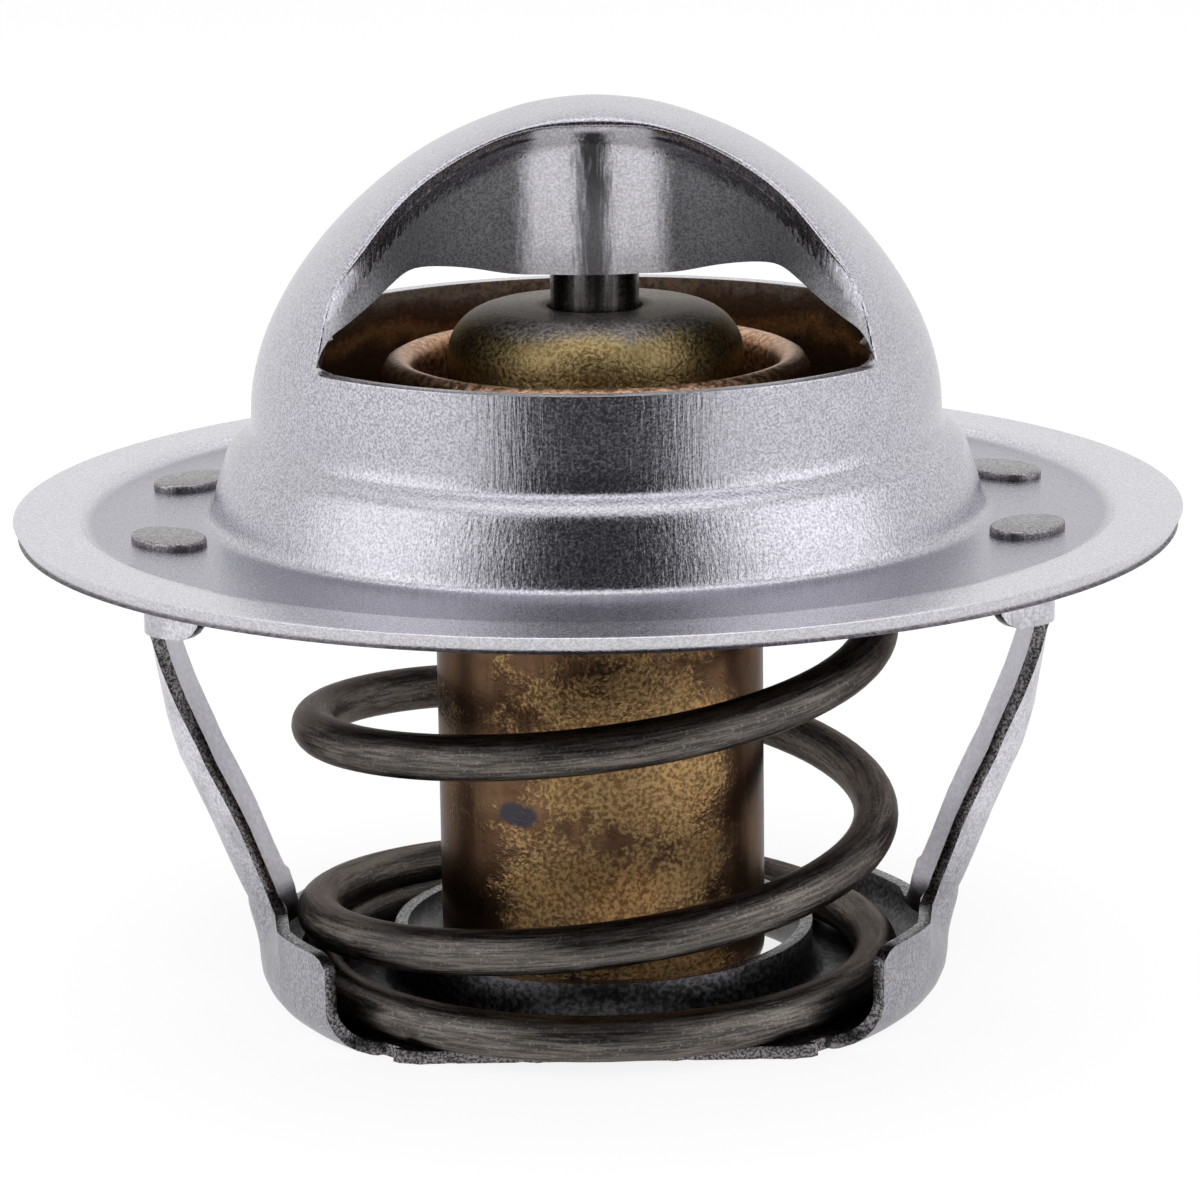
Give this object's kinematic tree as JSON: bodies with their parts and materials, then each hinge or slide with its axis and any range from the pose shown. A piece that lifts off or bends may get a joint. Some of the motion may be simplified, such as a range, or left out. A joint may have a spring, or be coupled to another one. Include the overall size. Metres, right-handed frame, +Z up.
{
  "type": "engine thermostat",
  "caption": "Wax-element engine thermostat: round flange with an arched bridge, sprung poppet valve disc on a wax capsule, and a stamped lower frame.",
  "frame": {"origin": "centre of the underside of the lower frame's plate, which the part stands on", "axes": "+Z up along the valve axis, from the wax capsule to the bridge; +X through one leg of the lower frame; -Y faces one window of the bridge"},
  "size_m": [0.054, 0.054, 0.0422],
  "materials": {
    "stamped_steel": "satin",
    "frame_steel": "satin",
    "spring_steel": "satin",
    "piston_steel": "satin",
    "brass": "satin",
    "copper": "satin",
    "rubber": "matte",
    "ring_plastic": "matte",
    "wax": "matte"
  },
  "bodies": {
    "root": {"flange_bridge": "stamped_steel", "lower_frame": "frame_steel", "piston": "piston_steel", "main_spring": "spring_steel"},
    "element": {"element_guide": "brass", "wax_capsule": "copper", "valve_disc": "copper", "rubber_boot": "rubber", "seal_ring": "ring_plastic", "wax_charge": "wax"}
  },
  "joints": [
    {"name": "valve_lift", "type": "slide", "parent": "root", "child": "element", "axis": [0, 0, -1], "range_m": [0, 0.008], "stiffness_N_per_m": 4100, "springref_m": -0.012, "deforming": ["main_spring"]}
  ]
}
